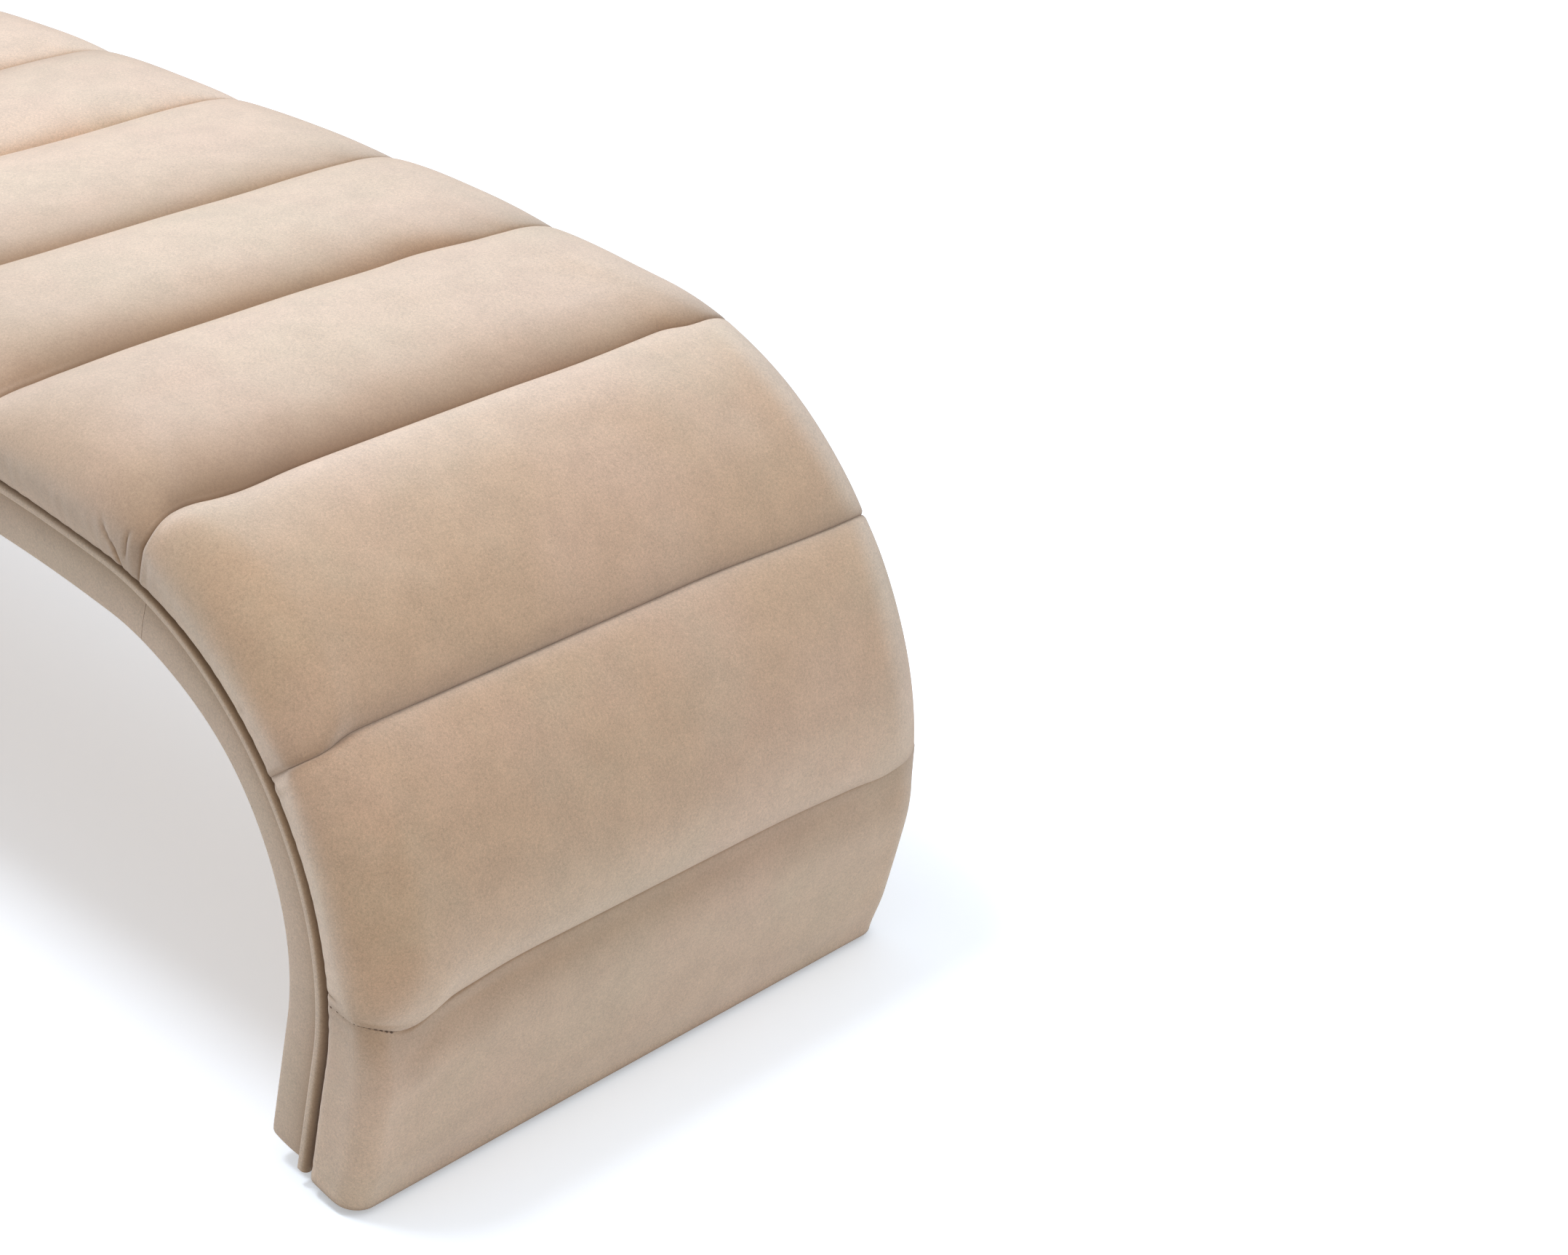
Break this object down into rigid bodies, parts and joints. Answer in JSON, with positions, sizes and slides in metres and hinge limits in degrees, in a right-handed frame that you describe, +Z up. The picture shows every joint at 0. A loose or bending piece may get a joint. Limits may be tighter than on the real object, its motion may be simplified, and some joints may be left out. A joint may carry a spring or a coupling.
{
  "type": "upholstered bench",
  "caption": "Low waterfall bench: a padded arch in beige velvet with channels across it, piped sides and legs that lean in to the floor.",
  "frame": {"origin": "centre of the bench on the floor, under the middle of the seat", "axes": "+X along the bench, +Y across it towards the rear side, +Z up"},
  "size_m": [1.5018, 0.49, 0.483],
  "materials": {
    "velvet_cover": "short velvet pile, soft sheen, slightly mottled",
    "velvet_band": "the same velvet, drawn smooth over thin wadding",
    "velvet_welt": "the same velvet sewn round a cord",
    "velvet_lining": "the same velvet, stretched flat under the arch",
    "foam": "open-cell upholstery foam",
    "backing_cloth": "thin bonded cloth",
    "foot_cloth": "black spun-bonded cloth",
    "plywood": "raw birch plywood, sanded",
    "softwood": "planed softwood, unfinished",
    "zinc_steel": "zinc plated",
    "glide_plastic": "moulded nylon, slightly worn"
  },
  "bodies": {
    "root": {"front_rib_left": "plywood", "front_rib_top": "plywood", "front_rib_right": "plywood", "centre_rib": "plywood", "rear_rib_left": "plywood", "rear_rib_top": "plywood", "rear_rib_right": "plywood", "outer_skin_left": "plywood", "outer_skin_top": "plywood", "outer_skin_right": "plywood", "inner_skin_left": "plywood", "inner_skin_top": "plywood", "inner_skin_right": "plywood", "foot_board_left": "softwood", "foot_board_right": "softwood", "leg_rail_left": "softwood", "leg_rail_right": "softwood", "shoulder_rail_left": "softwood", "shoulder_rail_right": "softwood", "seat_rails": "softwood", "front_band_left": "velvet_band", "front_band_top": "velvet_band", "front_band_right": "velvet_band", "rear_band_left": "velvet_band", "rear_band_top": "velvet_band", "rear_band_right": "velvet_band", "front_welt": "velvet_welt", "rear_welt": "velvet_welt", "channel_cover_01": "velvet_cover", "channel_cover_02": "velvet_cover", "channel_cover_03": "velvet_cover", "channel_cover_04": "velvet_cover", "channel_cover_05": "velvet_cover", "channel_cover_06": "velvet_cover", "channel_cover_07": "velvet_cover", "channel_cover_08": "velvet_cover", "channel_cover_09": "velvet_cover", "channel_cover_10": "velvet_cover", "channel_cover_11": "velvet_cover", "channel_cover_12": "velvet_cover", "underside_lining": "velvet_lining", "channel_foam_01": "foam", "channel_foam_02": "foam", "channel_foam_03": "foam", "channel_foam_04": "foam", "channel_foam_05": "foam", "channel_foam_06": "foam", "channel_foam_07": "foam", "channel_foam_08": "foam", "channel_foam_09": "foam", "channel_foam_10": "foam", "channel_foam_11": "foam", "channel_foam_12": "foam", "foam_sheet": "foam", "backing_cloth": "backing_cloth", "foot_cloth_left": "foot_cloth", "foot_cloth_right": "foot_cloth", "rib_screws": "zinc_steel", "glide_nails": "zinc_steel", "glides": "glide_plastic"}
  },
  "joints": []
}
